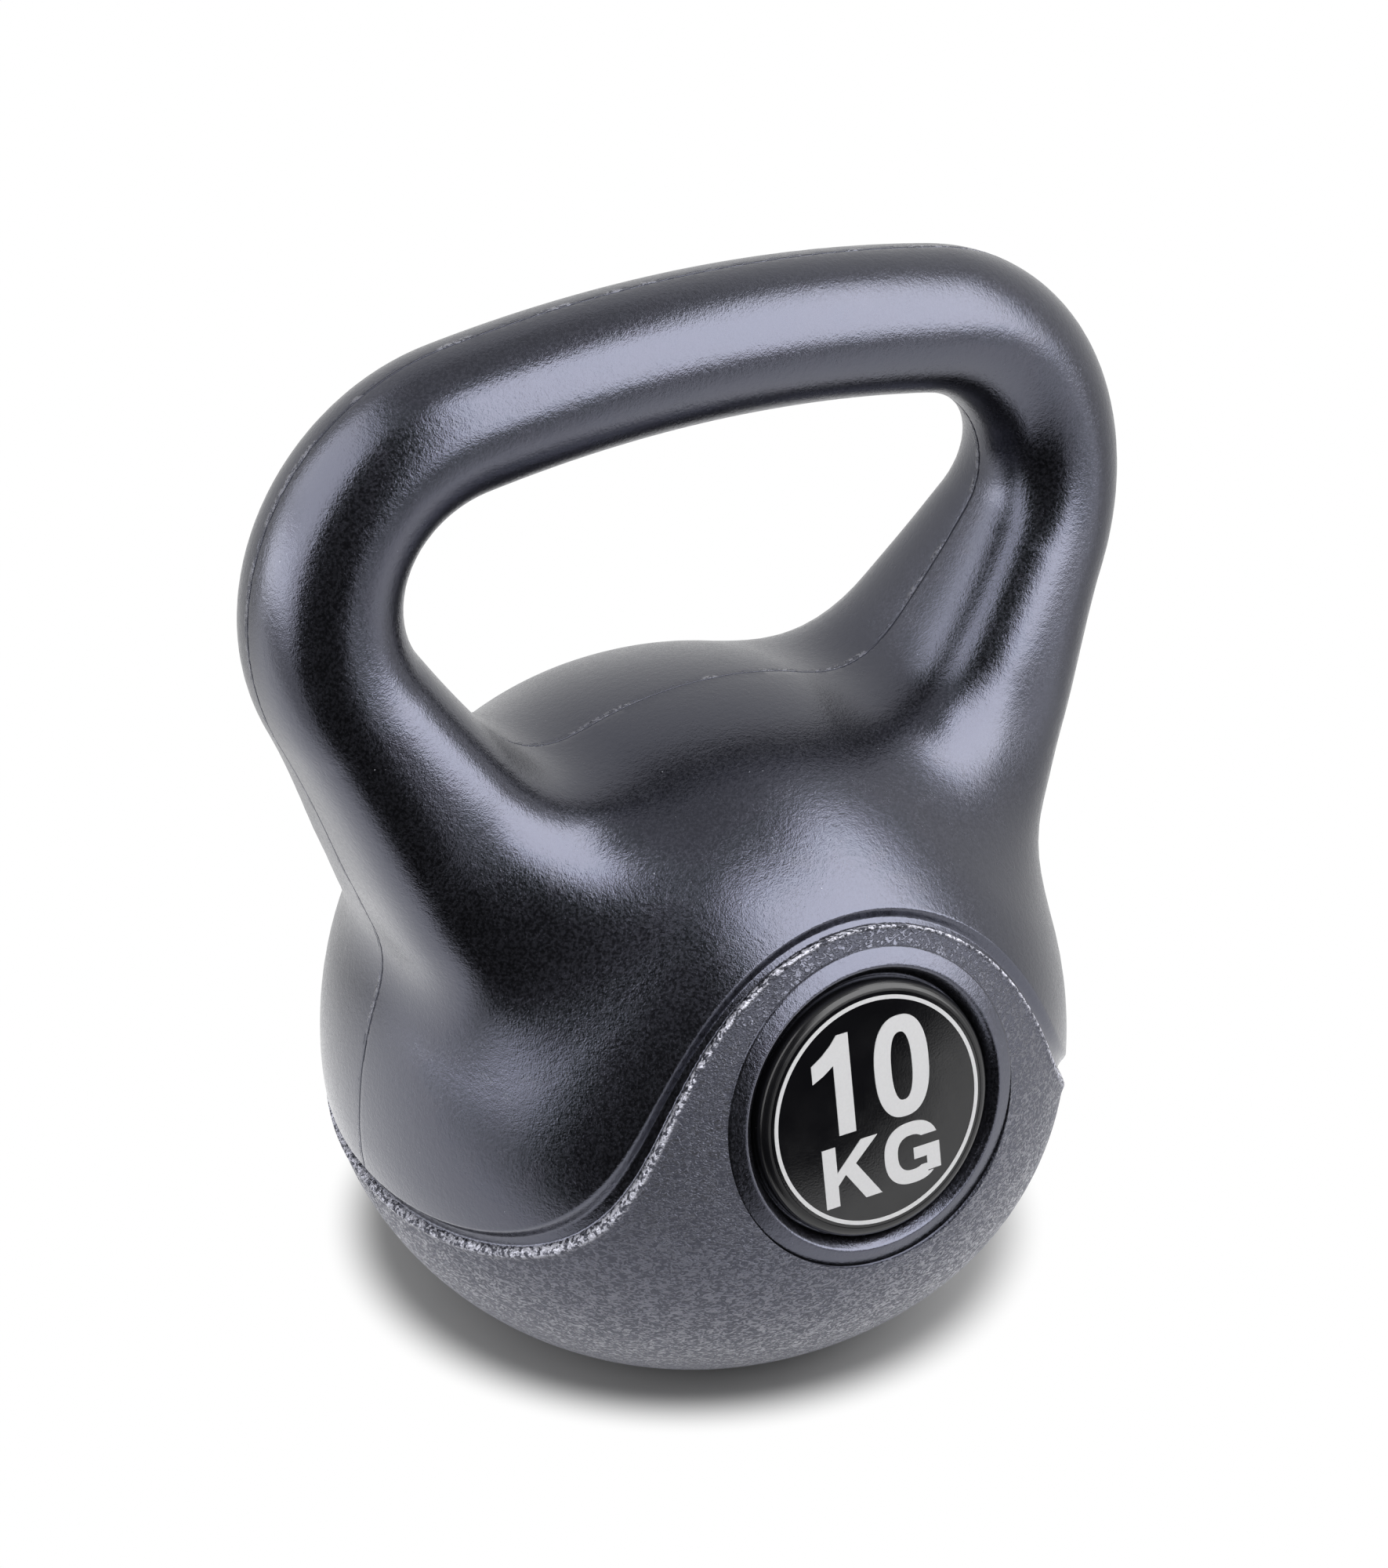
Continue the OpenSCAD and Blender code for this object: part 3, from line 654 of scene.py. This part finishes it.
def skin_material():
    """Satin above the wave, pebbled below it, a crinkled edge along the groove with painted glints
    on it.
    """
    m = Nodes("moulded_plastic", (0.004, 0.004, 0.005), 0.26,
              Specular_IOR_Level=0.85, Specular_Tint=SHEEN_TINT)
    wave = m.add("Attribute", attribute_name="wave").outputs["Fac"]
    _, side, height = m.place_axes()
    speckle = m.noise(0.75, 2.0, 0.6)
    parting, flash = parting_marks(m, side)

    grained = m.span(wave, -1.0, -1.7)
    ridge = m.span(m.noise(1.55, 1.0, 0.5, 1.8, stretch=(0.8, 0.8, 1.5)), 0.44, 0.6)
    grain = m.plus(m.times(ridge, 0.6), m.times(m.noise(1.0, 1.0, 0.5, 0.6), 0.5))
    crinkle = m.times(m.span(wave, -2.5, -1.9), m.span(wave, -0.9, -1.3))
    grain = m.times(grain, m.plus(grained, m.times(crinkle, 1.5)))
    satin = m.plus(m.noise(0.36, 1.0, 0.6), m.times(m.noise(0.8, 1.0), 0.9))
    peel = m.times(m.noise(1.8, 1.0), m.math("SUBTRACT", 1.0, grained))

    tone = m.mix(m.noise(24.0, 3.0), (0.003, 0.003, 0.0035), (0.005, 0.005, 0.006))
    tone = m.mix(m.span(speckle, 0.38, 0.62, 0.0, 0.9), tone, (0.01, 0.01, 0.012))
    # Painted light: the pebbled ridges are lighter lower on the ball. This stands in for the pale
    # floor's light reflected there.
    painted_floor_light = m.span(height, 0.03, 0.1, 0.9, 0.45)
    tone = m.mix(m.times(m.times(ridge, grained), painted_floor_light), tone, RIDGE_TONE)
    # Painted highlight: pale broken specks on the crinkled edge along the groove stand in for its
    # glints. They are stronger higher up the ball.
    glint = m.times(crinkle, m.span(m.noise(1.3, 2.0, 0.6), 0.44, 0.54))
    painted_glint_height = m.span(height, 0.035, 0.075, 0.25, 0.9)
    tone = m.mix(m.times(glint, painted_glint_height), tone, PAINTED_GLINT_TONE)
    tone = m.mix(m.times(flash, 0.8), tone, FLASH_TONE)
    m.colour(dusty(m, tone))

    sheen = m.plus(0.17, m.times(m.noise(6.0, 4.0, 0.6), 0.1))
    sheen = m.plus(sheen, m.span(speckle, 0.38, 0.62, -0.035, 0.042))
    sheen = m.plus(sheen, m.times(grained, m.span(ridge, 0.0, 1.0, 0.45, 0.12)))
    m.rough(m.math("ADD", sheen, m.times(parting, 0.7), clamp=True))
    raised = m.bump(grain, 0.5)
    for relief_height, depth_mm in ((peel, 0.05), (satin, 0.05),
                                    (m.math("SUBTRACT", flash, parting), 0.2)):
        raised = m.bump(relief_height, depth_mm, raised)
    return m.material


def glossy_plastic(name, colour, roughness, dust):
    m = Nodes(name, colour, roughness, Specular_IOR_Level=0.3)
    darker, lighter = (tuple(c * share for c in colour) for share in (0.85, 1.15))
    m.colour(dusty(m, m.mix(m.noise(15.0, 3.0), darker, lighter), dust))
    m.rough(m.span(m.noise(9.0, 5.0, 0.6), 0.3, 0.7, roughness * 0.8, roughness * 1.25))
    m.bump(m.noise(0.5, 2.0), 0.004)
    return m.material


def ink_material():
    m = Nodes("print_ink", (0.56, 0.56, 0.57), 0.5)
    m.colour(m.mix(m.noise(0.6, 3.0), (0.52, 0.52, 0.53), (0.6, 0.6, 0.61)))
    m.bump(m.noise(0.4, 2.0), 0.01)
    return m.material


def cement_material():
    m = Nodes("cement", (0.35, 0.34, 0.32), 0.9)
    m.colour(m.mix(m.noise(2.5, 6.0, 0.65), (0.24, 0.235, 0.22), (0.46, 0.45, 0.42)))
    m.bump(m.plus(m.noise(1.2, 6.0, 0.7), m.cells(3.5)), 0.5)
    return m.material


def steel_material():
    m = Nodes("bar_steel", (0.45, 0.45, 0.46), 0.4, Metallic=1.0)
    m.colour(m.mix(m.noise(12.0, 4.0), (0.36, 0.36, 0.37), (0.52, 0.52, 0.53)))
    m.rough(m.span(m.noise(4.0, 5.0, 0.6), 0.3, 0.7, 0.32, 0.5))
    m.bump(m.noise(0.5, 4.0, 0.6, stretch=(0.15, 1, 1)), 0.02)
    return m.material


def give(piece, material):
    piece.data.materials.clear()
    piece.data.materials.append(material)


# ---------------------------------------------------------------- the object
shape, triangles, corner_normals, wave_values = build_skin()
skin = new_object("moulded_skin", triangle_mesh("moulded_skin", shape, triangles, corner_normals))
attribute = skin.data.attributes.new("wave", "FLOAT", "POINT")
attribute.data.foreach_set("value", wave_values.astype(np.float32))
give(skin, skin_material())
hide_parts("shell")
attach(skin, "root")

plug_finish = glossy_plastic("plug_plastic", (0.005, 0.005, 0.006), 0.22, 1.0)
film_finish = glossy_plastic("label_film", (0.004, 0.004, 0.005), 0.07, 0.8)
NODE_FINISH = {
    "front_plug": plug_finish, "rear_plug": plug_finish,
    "front_label": film_finish, "rear_label": film_finish,
    "weight_mark": ink_material(), "fill": cement_material(), "handle_bar": steel_material(),
}
for node, finish in NODE_FINISH.items():
    give(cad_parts[node], finish)

# ---------------------------------------------------------------- floor, light and camera
CAMERA_TURN, CAMERA_RISE, CAMERA_ROLL = (math.radians(v) for v in (-30.51, 29.38, 0.5))
CAMERA_AWAY, CAMERA_BASE, CAMERA_AIM = 0.9761, (0, 0, 0.13464), (-0.00027, 0, 0.1509)
PICTURE_HIGH, FOCAL, SENSOR = 2000, 4813.6, 36


def direction(turn, rise):
    """Unit step from the object; turn 0 is -Y and 90 degrees is +X."""
    return Vector((math.sin(turn) * math.cos(rise), -math.cos(turn) * math.cos(rise),
                   math.sin(rise)))


def make_camera():
    data = bpy.data.cameras.new("camera")
    camera = new_object("camera", data)
    camera.location = Vector(CAMERA_BASE) + CAMERA_AWAY * direction(CAMERA_TURN, CAMERA_RISE)
    ahead = (Vector(CAMERA_AIM) - camera.location).normalized()
    right = ahead.cross(Vector((0, 0, 1))).normalized()
    up = right.cross(ahead)
    c, s = math.cos(CAMERA_ROLL), math.sin(CAMERA_ROLL)
    right, up = c * right + s * up, c * up - s * right
    camera.rotation_euler = Matrix((right, up, -ahead)).transposed().to_euler()
    data.sensor_width = SENSOR
    data.lens = SENSOR * FOCAL / PICTURE_HIGH
    data.clip_start, data.clip_end = 0.05, 50
    bpy.context.scene.camera = camera


def plain_plane(name, width, depth, outline=None):
    mesh = bpy.data.meshes.new(name)
    x, y = width / 2, depth / 2
    corners = [(a, b, 0) for a, b in outline or ((-x, -y), (x, -y), (x, y), (-x, y))]
    mesh.from_pydata(corners, [], [tuple(range(len(corners)))])
    plane = new_object(name, mesh)
    return plane


def face_object(thing, turn, rise, away, lean=0.0):
    """Places a light or card round the object, facing it, its top leaned to the right."""
    step = direction(math.radians(turn), math.radians(rise))
    thing.location = Vector(STUDIO_AIM) + away * step
    facing = step.to_track_quat("Z", "Y").to_matrix()
    thing.rotation_euler = (facing @ Matrix.Rotation(-math.radians(lean), 3, "Z")).to_euler()


def softbox(name, turn, rise, away, wide, high, power):
    data = bpy.data.lights.new(name, "AREA")
    data.shape, data.size, data.size_y, data.energy = "RECTANGLE", wide, high, power
    light = new_object(name, data)
    light.visible_camera = False
    light.visible_glossy = False
    face_object(light, turn, rise, away)


def lit_from_below(m, share):
    """The camera and the gloss on the object see a share of plain light instead of the paper."""
    path = m.add("LightPath")
    seen = m.math("MAXIMUM", path.outputs["Is Camera Ray"], path.outputs["Is Glossy Ray"])
    glow = m.add("Emission")
    ahead = m.span(m.place_axes()["Y"], GLOW_END, GLOW_END + GLOW_FADE, TABLE_GLOW, TABLE_REST)
    m.feed(glow.inputs["Strength"], m.span(path.outputs["Is Glossy Ray"], 0.0, 1.0, 1.0, ahead))
    m.surface_mix(m.times(seen, share), m.shader.outputs[0], glow.outputs[0])


def make_floor():
    """Pale table that ends a little in front of the object, and plain white outside the shadow."""
    floor = plain_plane("floor", FLOOR_SIZE, FLOOR_SIZE)
    step = direction(math.radians(FRONT_TURN), 0)
    floor.location = (FLOOR_FRONT - FLOOR_SIZE / 2) * step
    floor.rotation_euler = (0, 0, math.radians(FRONT_TURN))
    m = Nodes("floor_paper", (0.4, 0.4, 0.4), 0.9, Specular_IOR_Level=0.0)
    m.bump(m.noise(2.0, 3.0), 0.01)
    m.colour(m.mix(m.noise(30.0, 4.0), (0.38, 0.38, 0.38), (0.42, 0.42, 0.42)))
    away = m.add("VectorMath", operation="DISTANCE")
    m.feed(away.inputs[0], m.add("NewGeometry").outputs["Position"])
    m.feed(away.inputs[1], SHADE_CENTRE)
    lit_from_below(m, m.span(away.outputs["Value"], *SHADE_EDGE))
    give(floor, m.material)


def make_card(name, turn, rise, away, wide, high, level, soft=0.0, lean=0.0, outline=None):
    """A card that only the object's reflections show, fading over soft metres at its edge."""
    card = plain_plane(name, wide, high, outline)
    face_object(card, turn, rise, away, lean)
    m = Nodes(name, (0.0, 0.0, 0.0), 0.9, Specular_IOR_Level=0.0, Emission_Color=(1, 1, 1, 1))
    for place, size in zip(m.place_axes(), (wide, high)):
        reach = m.math("ABSOLUTE", place)
        level = m.times(m.span(reach, size / 2 - soft, size / 2 + MM, 1.0, 0.0), level)
    m.feed(m.shader.inputs["Emission Strength"], level)
    if soft:
        clear = m.add("BsdfTransparent").outputs[0]
        m.surface_mix(m.math("MINIMUM", level, 1.0), clear, m.shader.outputs[0])
    give(card, m.material)
    card.visible_camera = False
    card.visible_shadow = False
    card.visible_diffuse = False


def make_world(ambient):
    """Plain white to the camera and in reflections, and a level of its own for diffuse light."""
    world = bpy.data.worlds.new("studio")
    bpy.context.scene.world = world
    world.use_nodes = True
    nodes, links = world.node_tree.nodes, world.node_tree.links
    path = nodes.new("ShaderNodeLightPath")
    seen = path.outputs["Is Camera Ray"]
    for ray in ("Is Glossy Ray", "Is Transmission Ray"):
        either = nodes.new("ShaderNodeMath")
        either.operation = "MAXIMUM"
        links.new(seen, either.inputs[0])
        links.new(path.outputs[ray], either.inputs[1])
        seen = either.outputs[0]
    level = nodes.new("ShaderNodeMapRange")
    links.new(seen, level.inputs["Value"])
    level.inputs["To Min"].default_value = ambient
    level.inputs["To Max"].default_value = 1.0
    background = nodes["Background"]
    background.inputs["Color"].default_value = (1, 1, 1, 1)
    links.new(level.outputs[0], background.inputs["Strength"])


# Lamps give the plain diffuse light. Cards are what the gloss reflects: softboxes, dark flags and
# a grey top. The numbers are turn and rise in degrees, then metres away, wide and high, then power
# or level, and for cards the soft edge and the lean.
STUDIO_AIM, AMBIENT = (0, 0, 0.14), 0.35
LAMPS = (
    ("lamp_right", 60, 50, 1.5, 1.5, 1.5, 26),
    ("lamp_left", -60, 45, 1.5, 1.5, 1.5, 14),
)
CARDS = (
    ("softbox_right", 35, 34, 1.5, 1.85, 2.3, 7.8, 0.3, 4),
    ("softbox_left", -97, 27, 1.5, 2.35, 2.5, 4.5, 0.3, 6),
    ("softbox_low", -104, 8, 1.45, 1.4, 0.9, 6.6, 0.25),
    ("dark_front", -34, 8, 1.35, 4.0, 4.4, 0.0),
    ("dark_low", 27, -13.5, 1.28, 0.36, 0.22, 0.0),
    ("light_low", 28.5, -15.5, 1.45, 0.36, 0.3, 2.3, 0.05),
    ("grey_top", 0, 90, 1.4, 1.3, 1.3, 0.6),
)
CARD_OUTLINES = {
    "dark_front": ((-0.8, -2.0), (0.15, -2.0), (1.34, -0.7), (0.88, 0.4), (0.85, 1.9),
                   (-0.42, 1.9), (-0.6, 0.75), (-0.98, 0.03), (-1.45, -0.8)),
    "dark_low": ((-0.18, -0.04), (-0.05, -0.04), (-0.015, -0.03), (0.01, -0.008),
                 (0.024, 0.025), (0.06, 0.045), (0.07, 0.11), (-0.18, 0.11)),
}
FRONT_TURN, FLOOR_SIZE, FLOOR_FRONT = -36, 4.0, 0.2
# How bright reflections show the table in front of the object and behind it, and where, along the
# floor's own Y, the one fades into the other
TABLE_GLOW, TABLE_REST, GLOW_FADE = 1.95, 0.9, 0.25
GLOW_END = FLOOR_FRONT - FLOOR_SIZE / 2 - 0.05
SHADE_CENTRE, SHADE_EDGE = (0.012, 0.024, 0), (0.083, 0.102)

make_camera()
make_floor()
make_world(AMBIENT)
for lamp in LAMPS:
    softbox(*lamp)
for card in CARDS:
    make_card(*card, outline=CARD_OUTLINES.get(card[0]))
bpy.context.scene.view_settings.view_transform = "Standard"
